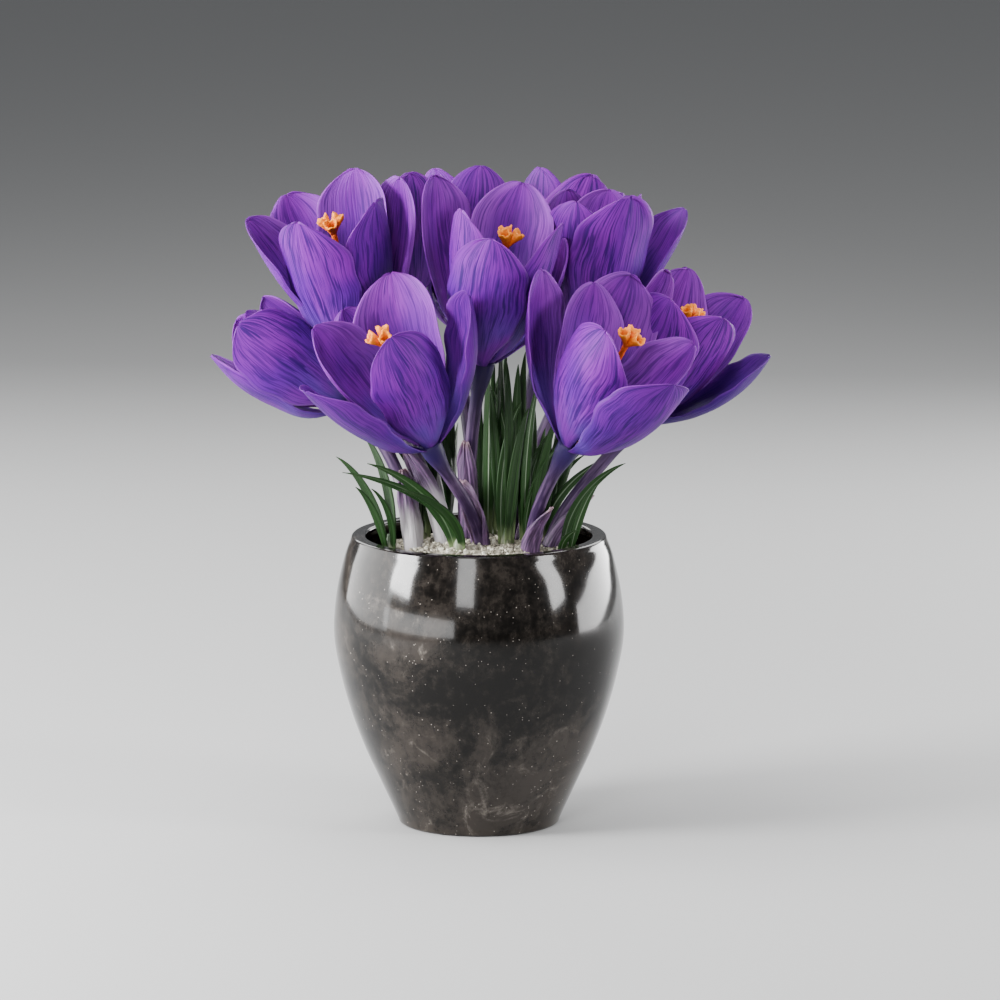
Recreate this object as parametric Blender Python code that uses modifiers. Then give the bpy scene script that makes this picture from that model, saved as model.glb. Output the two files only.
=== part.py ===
"""Potted crocus: ten wide bowl-shaped blooms, their papery bracts and narrow leaves in a round glazed pot.

The pot stands on z = 0 with its axis on the z axis, and the front of the plant faces -y.
Sizes and places are in millimetres here. They become metres where a mesh, a curve or a cutter is made.
"""
import math
import random
from collections import namedtuple

import bmesh
import bpy
import numpy as np
from mathutils import Matrix, Vector

MM = 0.001
GAP = 0.3                   # clearance between pieces that touch
SEED = 7
KEPT_SHARE = 0.82           # of the triangles, once the slivers that a union leaves are collapsed

# Pot: a bulging cup on a narrow foot
POT_HEIGHT = 82.0
POT_FOOT_RADIUS = 22.4
POT_RIM_RADIUS = 35.7
POT_WALL = 4.0
POT_FLOOR = 5.0
POT_SEGMENTS = 32
POT_FLANK = [(3.7, 23.8), (13.0, 28.1), (22.0, 32.2), (32.0, 35.9), (43.0, 38.9), (54.0, 40.7),
             (65.0, 40.0), (75.0, 37.9)]        # height, radius

# Soil: a gravelly mound that fills the pot
SOIL_CREST = 81.0
SOIL_FALL = 0.0054          # drop in height per squared millimetre from the axis
SOIL_RINGS = 6
SOIL_SEGMENTS = 28
SOIL_GRAIN = 0.55           # height of the gravel relief
HOLE_SIDES = 7
ROOT_DEPTH = 5.0            # how far stems and leaves reach below the surface

# Blooms
TEPAL_THICKNESS = 0.7
TEPAL_ACROSS = 4
TEPAL_ROWS = (0.0, 0.2, 0.45, 0.72, 1.0)       # shares of the length
TEPAL_CLAW = 0.14           # width of a tepal's foot, as a share of its full width
FULL_AT = 0.35              # share of the length where a tepal has its full cup
BEND_AT = 0.4               # share of the length where the middle angle is reached
FOOT_CURVE = 4.0            # cross radius at a tepal's foot
OUTER = dict(angle=56.0, cup=15.0, start=2.9)       # foot angle from the axis, cross radius, foot radius
INNER = dict(angle=44.0, cup=13.0, start=1.7)
TUBE_RADIUS = 1.8
THROAT_RADIUS = 3.3
THROAT_LENGTH = 12.0
TUBE_POINTS = 5
BRACT_THICKNESS = 0.6
BRACT_GAP = 0.85
STAMEN_HEIGHT = 20.0
STIGMA_LOBE = 5.0
LEAF_THICKNESS = 0.7
LEAF_ROWS = 4
LEAF_START = 1.2            # distance from a sheath's axis to a blade's foot
SHEATH_RADIUS = 1.9
SHEATH_HEIGHT = 9.0

# A tepal: azimuth about the bloom's axis (0 faces -y, positive to the right), the angles from the axis at
# its middle and tip, its length and its width. The first three are the outer ones.
# A bloom: throat, lean to +x and to -y in degrees, height of the stigma's head, root on the soil, how far up
# its tube the bract reaches as a share, the side that the bract's point stands on, and the six tepals.
Bloom = namedtuple("Bloom", "throat lean style root bract side tepals")
BLOOMS = [
    Bloom((-13.5, -27, 112), (-22, 28), 40, (1, -6.5), 0.55, 150,           # front left, wide open
          [(-58, 30, 16, 50, 27), (92, 33, 10, 49, 27), (-162, 34, 19, 43.5, 23),
           (22, 18, -30, 48, 27), (164, 31, 30, 48, 28), (-122, 24, 6, 48, 25)]),
    Bloom((25, -29, 112), (27, 24), 40, (14, -10), 0.5, 60,                 # front right, wide open
          [(-108, 42, 10, 51, 24), (38, 30, 0, 50, 28), (-170, 34, 24, 50, 28),
           (-38, 20, -16, 47, 27), (116, 24, 6, 46, 24), (-146, 34, 20, 45, 22)]),
    Bloom((1.2, -12, 132.4), (11, 8), 38, (-3, 0), 0.6, -30,                # centre
          [(-15, 20, 2, 46, 25), (-130, 30, 16, 54, 24), (121, 22, -1, 42, 21),
           (-54, 18, 6, 49, 23), (176, 21, 14, 52, 27), (72, 14, 0, 48, 23)]),
    Bloom((-32.5, 2, 135.2), (-13, 20), 40, (-9.5, -3), 0.5, -30,           # upper left
          [(-158, 38, 26, 47, 27), (-33, 10, -7, 53, 27), (128, 31, 12, 48, 23),
           (-106, 29, 15, 49, 26), (58, 16, 2, 51, 26), (160, 29, 20, 49, 26)]),
    Bloom((-37.5, 0, 119.5), (-54, 10), 32, (-18, -5), 0.5, 30,             # lower left, nearly lying
          [(-85, 10, -14, 42, 23), (12, 12, -8, 43, 25), (130, 12, 0, 38, 21),
           (58, 2, -10, 40, 20), (179, 11, -4.5, 39, 20), (-139, 0.5, -8.5, 36.5, 19)]),
    Bloom((-24, 31, 135.4), (-10, -6), 36, (-10, 8), 0.5, -90,              # back left
          [(30, 25, 10, 50, 24), (172, 12, 3, 39, 21), (-90, 20, 6, 46, 24),
           (90, 8, -6, 38, 20), (-150, 12, 6, 46, 23), (-30, 18, 8, 47, 24)]),
    Bloom((-5, 38, 134.3), (2, -14), 36, (0, 10), 0.5, 180,                 # back
          [(10, 22, 6, 50, 24), (140, 14, 0, 42, 20), (-101, 4, -2, 37, 20.5),
           (70, 12, 2, 44, 22), (-172, 15, 4.5, 45.5, 23), (-40, 12.5, 3, 47, 24)]),
    Bloom((18, 36, 133.6), (12, -10), 36, (10, 8), 0.5, 150,                # back right
          [(10, 17, 6, 51, 22), (119, 20, 6, 48, 24), (-113, 12.5, -1, 40, 21),
           (60, 14, 4, 46, 24), (180, 8, 0, 43, 22), (-46, 12, 4, 48, 24)]),
    Bloom((27.6, 9, 136.8), (8, 8), 37, (8.5, 0), 0.5, 180,                  # upper right
          [(26, 14, 2, 52, 27), (113, 35, 11, 46, 24), (-150, 18, 2, 42, 22),
           (-26, 15, 2, 45, 24), (166, 15, 2, 42.5, 22.5), (72, 8, 1, 46.5, 20.5)]),
    Bloom((43.8, 1, 114.3), (27, 14), 36, (19, -3), 0.5, 90,                # right
          [(-33, 12.5, 2, 45.5, 27), (88, 38, 4, 43, 25), (-121, 16.5, -11.5, 45.5, 22.5),
           (28, 14, 2, 46, 24), (150, 32, 18, 46, 23), (-165, 27, 15, 45, 22)]),
]

# A tuft: the root of its sheath on the soil, and the tip and width of each leaf
Tuft = namedtuple("Tuft", "root leaves")
TUFTS = [
    Tuft((7.5, -7), [((6, -3, 131), 3.4), ((11, -5, 126), 3.6), ((3, -3, 121), 3), ((14, -6, 117), 3.2)]),
    Tuft((2.5, 4.5), [((4, 3, 132), 3.6), ((-1, 5, 127), 3.2), ((8, 6, 133), 3.4), ((6, 9, 122), 3)]),
    Tuft((13.5, -3), [((17, -4, 122), 3.4), ((22, -4, 115), 3.2), ((13, -2, 129), 3.4), ((25, -1, 107), 3)]),
    Tuft((-15.5, 5), [((-28, 9, 105), 3.4), ((-21, 10, 117), 3.4), ((-15, 8, 126), 3.6), ((-10, 6, 120), 3)]),
    Tuft((-5.5, -12.5), [((-38, -14, 102), 3), ((-31, -17, 105), 4), ((-22, -19, 98), 3)]),
    Tuft((-25, -5), [((-34.5, -9, 97), 2.4), ((-30, -12, 97), 2.2), ((-40, 0, 104), 3), ((-33, 6, 110), 3)]),
    Tuft((24, -9), [((34, -11, 99), 3), ((27.5, -13, 85.5), 2.4), ((41, -5, 103), 3.2)]),
    Tuft((-10, 17), [((-13, 30, 116), 3.4), ((-9, 25, 127), 3.4), ((-20, 38, 100), 3.2), ((-6, 34, 108), 3)]),
    Tuft((5, 18), [((7, 24, 128), 3.4), ((6, 37, 112), 3.4), ((9, 32, 104), 3), ((3, 21, 118), 3)]),
    Tuft((18, 13), [((23, 20, 120), 3.4), ((30, 26, 106), 3.4), ((22, 27, 112), 3), ((37, 16, 101), 3)]),
]


# ---------------------------------------------------------------- scene, materials and meshes

def clear_scene():
    for item in list(bpy.data.objects):
        bpy.data.objects.remove(item, do_unlink=True)


def new_collection(name):
    collection = bpy.data.collections.new(name)
    bpy.context.scene.collection.children.link(collection)
    return collection


def make_material(name, colour, roughness):
    material = bpy.data.materials.new(name)
    material.use_nodes = True
    shader = material.node_tree.nodes["Principled BSDF"]
    shader.inputs["Base Color"].default_value = (*colour, 1.0)
    shader.inputs["Roughness"].default_value = roughness
    shader.inputs["Metallic"].default_value = 0.0
    return material


def add_object(name, data, collection, material=None):
    item = bpy.data.objects.new(name, data)
    if material:
        data.materials.append(material)
    collection.objects.link(item)
    return item


def add_mesh(name, points, faces, collection, material=None):
    """Object from points in millimetres."""
    mesh = bpy.data.meshes.new(name)
    mesh.from_pydata([[c * MM for c in p] for p in points], [], faces)
    return add_object(name, mesh, collection, material)


def evaluated_mesh(item):
    graph = bpy.context.evaluated_depsgraph_get()
    return bpy.data.meshes.new_from_object(item.evaluated_get(graph))


def add_rod(name, points, radii, collection, ring=2):
    """Closed tube through points, as a mesh. ring 0, 1 and 2 give it 4, 6 and 8 sides."""
    curve = bpy.data.curves.new(name, "CURVE")
    curve.dimensions = "3D"
    curve.bevel_depth = MM
    curve.bevel_resolution = ring
    curve.use_fill_caps = True
    spline = curve.splines.new("POLY")
    spline.points.add(len(points) - 1)
    for knot, point, radius in zip(spline.points, points, radii):
        knot.co = (*(c * MM for c in point), 1.0)
        knot.radius = radius
    rod = add_object(name + "_path", curve, collection)
    mesh = evaluated_mesh(rod)
    bpy.data.objects.remove(rod, do_unlink=True)
    weld(mesh)
    return add_object(name, mesh, collection)


def weld(mesh):
    work = bmesh.new()
    work.from_mesh(mesh)
    bmesh.ops.remove_doubles(work, verts=work.verts, dist=0.01 * MM)
    bmesh.ops.recalc_face_normals(work, faces=work.faces)
    work.to_mesh(mesh)
    work.free()


def add_sheet(name, grid, thickness, collection):
    """Closed blade round a grid of points. Its triangles are alike on both faces."""
    rows = len(grid)
    across = len(grid[0])
    points = [p for row in grid for p in row]
    faces = []
    for j in range(rows - 1):
        for i in range(across - 1):
            a = j * across + i
            b = a + 1
            c = b + across
            d = a + across
            if 2 * i < across - 1:
                faces += [(a, b, c), (a, c, d)]
            else:
                faces += [(a, b, d), (b, c, d)]
    sheet = add_mesh(name, points, faces, collection)
    solidify = sheet.modifiers.new("thickness", "SOLIDIFY")
    solidify.thickness = thickness * MM
    solidify.offset = 0.0
    mesh = evaluated_mesh(sheet)
    bpy.data.objects.remove(sheet, do_unlink=True)
    weld(mesh)
    return add_object(name, mesh, collection)


def fuse(name, pieces, collection, material):
    """One body from closed pieces that run into each other."""
    body, *others = pieces
    joined = new_collection(name + "_pieces")
    for item in others:
        for owner in list(item.users_collection):
            owner.objects.unlink(item)
        joined.objects.link(item)
    union = body.modifiers.new("union", "BOOLEAN")
    union.operation = "UNION"
    union.operand_type = "COLLECTION"
    union.collection = joined
    union.solver = "MANIFOLD"
    slivers = body.modifiers.new("slivers", "DECIMATE")
    slivers.ratio = KEPT_SHARE
    mesh = evaluated_mesh(body)
    for item in [body] + others:
        bpy.data.objects.remove(item, do_unlink=True)
    bpy.data.collections.remove(joined)
    mesh.materials.clear()
    keep_largest_body(mesh)
    fused = add_object(name, mesh, collection, material)
    soften(fused, 40)
    return fused


def keep_largest_body(mesh):
    """Drop loose scraps, and the walls of hollows that the union sealed."""
    work = bmesh.new()
    work.from_mesh(mesh)
    left = set(work.faces)
    bodies = []
    while left:
        body = {left.pop()}
        edge_of_body = list(body)
        while edge_of_body:
            face = edge_of_body.pop()
            near = {other for edge in face.edges for other in edge.link_faces} & left
            left -= near
            body |= near
            edge_of_body += near
        bodies.append(body)
    bodies.sort(key=len)
    scraps = [face for body in bodies[:-1] for face in body]
    bmesh.ops.delete(work, geom=scraps, context="FACES")
    bmesh.ops.triangulate(work, faces=work.faces)
    work.to_mesh(mesh)
    work.free()


def soften(item, angle):
    item.data.shade_smooth()
    item.data.set_sharp_from_angle(angle=math.radians(angle))


# ---------------------------------------------------------------- lines and frames in space

def ease(x):
    x = min(max(x, 0.0), 1.0)
    return x * x * (3 - 2 * x)


def bezier(p0, p1, p2, p3, t):
    s = 1 - t
    return p0 * s**3 + p1 * (3 * s * s * t) + p2 * (3 * s * t * t) + p3 * t**3


def soil_height(x, y):
    return SOIL_CREST - SOIL_FALL * (x * x + y * y)


def bloom_frame(bloom):
    """Rotation with z along the bloom's axis and x towards the front."""
    lean_x, lean_y = (math.tan(math.radians(a)) for a in bloom.lean)
    axis = Vector((lean_x, -lean_y, 1.0)).normalized()
    front = Vector((0.0, -1.0, 0.0))
    front = (front - axis * front.dot(axis)).normalized()
    side = axis.cross(front)
    return Matrix((front, side, axis)).transposed()


def tube_path(bloom, shares):
    """Points on the bloom's tube, from share 0 below the soil to share 1 at the throat."""
    axis = bloom_frame(bloom).col[2]
    x, y = bloom.root
    foot = Vector((x, y, soil_height(x, y) - ROOT_DEPTH))
    throat = Vector(bloom.throat)
    rise = throat.z - foot.z
    up = Vector((0, 0, 0.4 * rise))
    return [bezier(foot, foot + up, throat - axis * (0.35 * rise), throat, t) for t in shares]


# ---------------------------------------------------------------- blooms

def tepal_grid(azimuth, middle, tip, length, width, whorl):
    """Rows of points of one tepal in its bloom's frame, from the foot to the tip."""
    steps = 100
    angles = []
    for k in range(steps + 1):
        t = k / steps
        angle = whorl["angle"] + (middle - whorl["angle"]) * ease(t / BEND_AT)
        angles.append(math.radians(angle + (tip - middle) * ease((t - BEND_AT) / (1 - BEND_AT))))
    out = [whorl["start"]]
    high = [0.0]
    for a, b in zip(angles, angles[1:]):
        out.append(out[-1] + math.sin((a + b) / 2) * length / steps)
        high.append(high[-1] + math.cos((a + b) / 2) * length / steps)
    shares = np.linspace(0, 1, steps + 1)
    turn = Matrix.Rotation(math.radians(azimuth), 3, "Z")
    rows = []
    for t in TEPAL_ROWS:
        half = width / 2 * tepal_outline(t)
        row = []
        for i in range(TEPAL_ACROSS + 1):
            s = 2 * i / TEPAL_ACROSS - 1
            along = t - 0.15 * abs(s)**1.7 * t**3       # rows bend back at their ends, so the tip is round
            full = ease(along / FULL_AT)
            radius = 1 / ((1 - full) / FOOT_CURVE + full / whorl["cup"])
            x = radius * math.sin(s * half / radius)
            sink = radius * (1 - math.cos(s * half / radius))
            angle = np.interp(along, shares, angles)
            r = np.interp(along, shares, out) - sink * math.cos(angle)
            z = np.interp(along, shares, high) + sink * math.sin(angle)
            row.append(turn @ Vector((r, x, z)))
        rows.append(row)
    return rows


def tepal_outline(t):
    """Share of the full width at a share t of the length."""
    return TEPAL_CLAW * (1 - t)**2 + math.sin(0.84 * math.pi * t**1.2)


def place(grid, frame, origin):
    return [[frame @ p + origin for p in row] for row in grid]


def add_tube(name, bloom, collection):
    """Perianth tube that widens into the throat, closed by the floor of the bloom."""
    frame = bloom_frame(bloom)
    throat = Vector(bloom.throat)
    points = tube_path(bloom, [k / TUBE_POINTS for k in range(TUBE_POINTS + 1)])
    radii = []
    for point in points:
        near = 1 - (point - throat).length / THROAT_LENGTH
        radii.append(TUBE_RADIUS + (THROAT_RADIUS - TUBE_RADIUS) * ease(near))
    points.append(throat + frame.col[2] * 1.6)
    radii.append(THROAT_RADIUS + 0.2)
    return add_rod(name, points, radii, collection, ring=1)


def add_stamens(name, frame, origin, collection):
    """Three filaments on the bloom's floor, each with a long anther."""
    stamens = []
    heights = (0.5, 0.8 * STAMEN_HEIGHT, STAMEN_HEIGHT)
    for k in range(3):
        turn = Matrix.Rotation(math.radians(60 + 120 * k), 3, "Z")
        points = [frame @ (turn @ Vector((1.6 + 0.05 * z, 0, z))) + origin for z in heights]
        stamens.append(add_rod(f"{name}_stamen{k}", points, (0.4, 0.8, 0.3), collection, ring=0))
    return stamens


def build_bloom(number, bloom, collection, material):
    name = f"bloom_{number:02d}"
    frame = bloom_frame(bloom)
    origin = Vector(bloom.throat)
    pieces = [add_tube(name + "_tube", bloom, collection)]
    for k, tepal in enumerate(bloom.tepals):
        grid = tepal_grid(*tepal, whorl=OUTER if k < 3 else INNER)
        pieces.append(add_sheet(f"{name}_tepal{k}", place(grid, frame, origin), TEPAL_THICKNESS, collection))
    pieces += add_stamens(name, frame, origin, collection)
    return fuse(name, pieces, collection, material)


def build_stigma(number, bloom, collection, material):
    """Style on the bloom's floor, ending in three trumpet lobes."""
    name = f"stigma_{number:02d}"
    frame = bloom_frame(bloom)
    origin = Vector(bloom.throat)
    foot = 1.6 + GAP
    fork = bloom.style - 0.6 * STIGMA_LOBE
    points = [frame @ Vector((0, 0, z)) + origin for z in (foot, fork)]
    pieces = [add_rod(name + "_style", points, (0.6, 0.9), collection, ring=0)]
    for k in range(3):
        turn = Matrix.Rotation(math.radians(120 * k + 30 * number), 3, "Z")
        lobe = [(0.0, -0.8, 0.5), (2.4, STIGMA_LOBE, 1.9)]
        points = [frame @ (turn @ Vector((out, 0, fork + up))) + origin for out, up, _ in lobe]
        pieces.append(add_rod(f"{name}_lobe{k}", points, [r for _, _, r in lobe], collection, ring=1))
    return fuse(name, pieces, collection, material)


def build_bract(number, bloom, collection, material):
    """Papery bract wrapped round the lower tube, that ends in a point on one side."""
    rows = 4
    across = 4
    shares = [bloom.bract * j / rows for j in range(rows + 1)]
    path = tube_path(bloom, shares)
    grid = []
    for j, (share, point) in enumerate(zip(shares, path)):
        before, after = tube_path(bloom, (max(share - 0.02, 0), share + 0.02))
        along = (after - before).normalized()
        front = Vector((0, -1, 0))
        front = (front - along * front.dot(along)).normalized()
        side = along.cross(front)
        t = j / rows
        radius = TUBE_RADIUS + BRACT_GAP + BRACT_THICKNESS / 2 + 1.6 * t * t
        reach = 150 * (1 - t**1.6) + 14 * t
        row = []
        for i in range(across + 1):
            azimuth = math.radians(bloom.side + reach * (2 * i / across - 1))
            row.append(point + (front * math.cos(azimuth) + side * math.sin(azimuth)) * radius)
        grid.append(row)
    name = f"bract_{number:02d}"
    bract = add_sheet(name, grid, BRACT_THICKNESS, collection)
    bract.data.materials.append(material)
    soften(bract, 50)
    return bract


# ---------------------------------------------------------------- leaves

def leaf_grid(root, start, tip, width):
    """Narrow blade that rises from its sheath and arches over to its tip."""
    x, y = root
    foot = Vector((x, y, soil_height(x, y) + 0.2 * SHEATH_HEIGHT)) + start
    tip = Vector(tip)
    lift = foot + start * 1.5 + Vector((0, 0, 0.5 * (tip.z - foot.z)))
    knee = lift.lerp(tip, 0.55) + Vector((0, 0, 0.12 * (tip.z - foot.z)))
    flat = Vector((tip.x - foot.x, tip.y - foot.y, 0))
    face = flat.normalized() if flat.length > 6 else start.normalized()
    span = Vector((-face.y, face.x, 0))
    rows = []
    for j in range(LEAF_ROWS + 1):
        t = j / LEAF_ROWS
        half = width / 2 * (0.62 + 0.38 * ease(t / 0.4)) * (1 - ease((t - 0.55) / 0.55) * 0.95)
        point = bezier(foot, lift, knee, tip, t)
        rows.append([point - span * half, point + span * half])
    return rows


def mean_angle(angles):
    return math.atan2(sum(math.sin(a) for a in angles), sum(math.cos(a) for a in angles))


def build_tuft(number, tuft, collection, material):
    name = f"leaves_{number:02d}"
    x, y = tuft.root
    base = soil_height(x, y)
    points = [(x, y, base - ROOT_DEPTH), (x, y, base + 0.6 * SHEATH_HEIGHT), (x, y, base + SHEATH_HEIGHT)]
    radii = (SHEATH_RADIUS, SHEATH_RADIUS, 0.8 * SHEATH_RADIUS)
    pieces = [add_rod(name + "_sheath", points, radii, collection, ring=1)]
    headings = sorted((math.atan2(tip[1] - y, tip[0] - x), tip, width) for tip, width in tuft.leaves)
    spread = 2 * math.pi / len(headings)
    first = mean_angle([heading - spread * k for k, (heading, _, _) in enumerate(headings)])
    for k, (_, tip, width) in enumerate(headings):
        start = Vector((math.cos(first + spread * k), math.sin(first + spread * k), 0)) * LEAF_START
        grid = leaf_grid(tuft.root, start, tip, width)
        pieces.append(add_sheet(f"{name}_leaf{k}", grid, LEAF_THICKNESS, collection))
    return fuse(name, pieces, collection, material)


# ---------------------------------------------------------------- pot and soil

def turned(name, profile, segments, collection, material):
    """Closed turned body from a profile of (radius, height) that starts and ends on the axis."""
    mesh = bpy.data.meshes.new(name)
    points = [(r * MM, 0, z * MM) for r, z in profile]
    mesh.from_pydata(points, [(k, k + 1) for k in range(len(points) - 1)], [])
    item = add_object(name, mesh, collection, material)
    screw = item.modifiers.new("turn", "SCREW")
    screw.axis = "Z"
    screw.steps = segments
    screw.render_steps = segments
    screw.use_merge_vertices = True
    screw.merge_threshold = 0.00001
    return item


def pot_inside():
    """Points (radius, height) up the pot's inner wall, below its rim."""
    wall = [(r - POT_WALL, z) for z, r in POT_FLANK if z > 2 * POT_FLOOR]
    return [(POT_FOOT_RADIUS - 1.0, POT_FLOOR)] + wall[::3]


def build_pot(collection, material):
    lip = POT_HEIGHT
    profile = [(0, POT_FLOOR)] + pot_inside()
    inner = POT_RIM_RADIUS - POT_WALL
    profile += [(inner + 0.2, lip - 2.0), (inner, lip - 0.5), (inner + 0.5, lip)]
    profile += [(POT_RIM_RADIUS - 0.9, lip), (POT_RIM_RADIUS, lip - 0.8)]
    profile += [(r, z) for z, r in reversed(POT_FLANK)]
    profile += [(POT_FOOT_RADIUS, 0.8), (POT_FOOT_RADIUS - 0.8, 0), (0, 0)]
    pot = turned("pot", profile, POT_SEGMENTS, collection, material)
    soften(pot, 40)
    return pot


def build_soil(collection, cutters, material):
    """Mound of gravel with a plain hole for every tube and sheath."""
    rng = random.Random(SEED)
    edge = POT_RIM_RADIUS - POT_WALL - 2.5 * GAP
    rings = [edge * (k / SOIL_RINGS)**0.8 for k in range(SOIL_RINGS, 0, -1)]
    points = []
    walls = pot_inside()[:-1]
    for radius, z in walls:
        points += ring_points(radius - 3 * GAP, lambda x, y, z=z: z + GAP)
    for k, radius in enumerate(rings):
        grain = SOIL_GRAIN if k else 0.0
        points += ring_points(radius, lambda x, y, g=grain: soil_height(x, y) + g * rng.uniform(-1, 1))
    points += [(0, 0, POT_FLOOR + GAP), (0, 0, SOIL_CREST)]
    count = len(walls) + len(rings)
    faces = []
    for k in range(count - 1):
        faces += band(k * SOIL_SEGMENTS, (k + 1) * SOIL_SEGMENTS)
    last = (count - 1) * SOIL_SEGMENTS
    for i in range(SOIL_SEGMENTS):
        n = (i + 1) % SOIL_SEGMENTS
        faces.append((n, i, len(points) - 2))
        faces.append((last + i, last + n, len(points) - 1))
    soil = add_mesh("soil", points, faces, collection, material)
    add_root_holes(soil, cutters)
    soften(soil, 30)
    return soil


def ring_points(radius, height):
    ring = []
    for i in range(SOIL_SEGMENTS):
        a = 2 * math.pi * i / SOIL_SEGMENTS
        x, y = radius * math.cos(a), radius * math.sin(a)
        ring.append((x, y, height(x, y)))
    return ring


def band(low, high):
    faces = []
    for i in range(SOIL_SEGMENTS):
        n = (i + 1) % SOIL_SEGMENTS
        faces += [(low + i, low + n, high + n), (low + i, high + n, high + i)]
    return faces


def add_root_holes(soil, cutters):
    bract = TUBE_RADIUS + BRACT_GAP + BRACT_THICKNESS
    holes = [(bloom.root, bract + 1.1) for bloom in BLOOMS]
    holes += [(tuft.root, SHEATH_RADIUS + 0.6) for tuft in TUFTS]
    for (x, y), radius in holes:
        add_hole(x, y, radius, cutters)
    cut = soil.modifiers.new("holes", "BOOLEAN")
    cut.operation = "DIFFERENCE"
    cut.operand_type = "COLLECTION"
    cut.collection = cutters


def add_hole(x, y, radius, cutters):
    top = soil_height(x, y) + 4
    bottom = soil_height(x, y) - ROOT_DEPTH - 3 * GAP
    work = bmesh.new()
    bmesh.ops.create_cone(work, cap_ends=True, segments=HOLE_SIDES, radius1=radius * MM, radius2=radius * MM,
                          depth=(top - bottom) * MM)
    bmesh.ops.translate(work, verts=work.verts, vec=(x * MM, y * MM, (top + bottom) / 2 * MM))
    mesh = bpy.data.meshes.new("root_hole")
    work.to_mesh(mesh)
    work.free()
    cutter = add_object("root_hole", mesh, cutters)
    cutter.hide_render = True
    cutter.display_type = "WIRE"


# ---------------------------------------------------------------- the whole plant

def build():
    clear_scene()
    crocus = new_collection("potted_crocus")
    cutters = new_collection("cutters")
    petal = make_material("petal", (0.16, 0.04, 0.42), 0.5)
    stigma = make_material("stigma", (0.85, 0.30, 0.03), 0.6)
    papery = make_material("bract", (0.48, 0.38, 0.50), 0.6)
    leaf = make_material("leaf", (0.03, 0.09, 0.03), 0.4)
    glaze = make_material("glaze", (0.03, 0.025, 0.025), 0.12)
    gravel = make_material("gravel", (0.48, 0.43, 0.37), 0.9)

    for number, bloom in enumerate(BLOOMS, 1):
        build_bloom(number, bloom, crocus, petal)
        build_stigma(number, bloom, crocus, stigma)
        build_bract(number, bloom, crocus, papery)
    for number, tuft in enumerate(TUFTS, 1):
        build_tuft(number, tuft, crocus, leaf)
    build_pot(crocus, glaze)
    build_soil(crocus, cutters, gravel)


build()
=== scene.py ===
"""Potted crocus: fine petals, stigmas, bracts, leaves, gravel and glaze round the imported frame.

Sizes and places are in millimetres until a mesh, a light or the camera is made. Every bloom, bract and tuft
grows from the same numbers as the solid that it stands for. What differs is fineness and a few small amounts
that are named below: tepals a little broader, tall leaves a little taller with younger blades beside them, and
one stigma a little lower.
"""

import math
import random
from collections import namedtuple

import bmesh
import bpy
import numpy as np
from mathutils import Matrix, Vector


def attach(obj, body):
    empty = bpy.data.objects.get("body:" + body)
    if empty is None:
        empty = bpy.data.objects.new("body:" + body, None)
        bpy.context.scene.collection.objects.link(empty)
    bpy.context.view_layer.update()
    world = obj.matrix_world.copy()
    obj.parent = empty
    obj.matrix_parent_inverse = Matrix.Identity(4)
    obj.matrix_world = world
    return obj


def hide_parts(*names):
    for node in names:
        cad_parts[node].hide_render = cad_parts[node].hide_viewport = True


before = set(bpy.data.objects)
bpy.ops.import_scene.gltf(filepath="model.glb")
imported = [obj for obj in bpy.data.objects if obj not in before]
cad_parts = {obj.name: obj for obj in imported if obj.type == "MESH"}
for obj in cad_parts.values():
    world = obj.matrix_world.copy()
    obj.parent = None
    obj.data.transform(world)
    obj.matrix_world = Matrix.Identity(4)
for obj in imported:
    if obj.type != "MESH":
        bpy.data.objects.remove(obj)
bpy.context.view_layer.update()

MM = 0.001
SEED = 11                       # every random draw comes from it

# Pot and soil, as in the solids
POT_HEIGHT = 82.0
POT_FOOT_RADIUS = 22.4
POT_RIM_RADIUS = 35.7
POT_WALL = 4.0
POT_FLANK = [(3.7, 23.8), (13.0, 28.1), (22.0, 32.2), (32.0, 35.9), (43.0, 38.9), (54.0, 40.7),
             (65.0, 40.0), (75.0, 37.9)]        # height, radius
SOIL_CREST = 81.0
SOIL_FALL = 0.0054              # drop of the mound for each square millimetre from its middle
ROOT_DEPTH = 5.0

# Blooms, as in the solids
TEPAL_CLAW = 0.14               # width of the claw, as a share of the widest
FULL_AT = 0.35                  # share of the length where a tepal reaches its full cup
BEND_AT = 0.4                   # and where it has its middle angle
FOOT_CURVE = 4.0                # radius round the throat
OUTER = dict(angle=56.0, cup=15.0, start=2.9)       # angle at the foot, radius of the cup, distance from the axis
INNER = dict(angle=44.0, cup=13.0, start=1.7)
TUBE_RADIUS = 1.8
THROAT_RADIUS = 3.3
THROAT_LENGTH = 12.0
BRACT_THICKNESS = 0.35
STAMEN_HEIGHT = 20.0
STIGMA_LOBE = 5.0
SHEATH_RADIUS = 1.9
SHEATH_HEIGHT = 9.0
LEAF_START = 1.2

# Fineness of the dressed pieces, and where they leave the solids
TEPAL_THICKNESS = 0.45
TEPAL_ACROSS = 20               # faces
TEPAL_ALONG = 30
TEPAL_WIDEST = 0.66             # share of the length
TEPAL_BROADER = 1.04            # times the solid's width
LEAF_THICKNESS = 0.45
LEAF_ACROSS = 6
LEAF_ALONG = 26
TALL_LEAF = 112.0               # height of tip from which a leaf is raised, and its tuft has younger blades
TALL_LEAF_RAISED = 5.0
TALL_LEAF_BLEND = 12.0
BRACT_ALONG = 34
BRACT_ACROSS = 26
HIDDEN_STIGMA = 9               # the bloom whose stigma hardly shows over its tepals
HIDDEN_STIGMA_DROP = 3.5
SHEATH_SHOWN = 0.6              # share of the solid sheath's height
MOUND_RINGS = 40
MOUND_SIDES = 120
MOUND_ROUGHNESS = 0.45
MOUND_DEPTH = 12.0
STONES = 3000
SCREW_STEPS = 128

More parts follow.
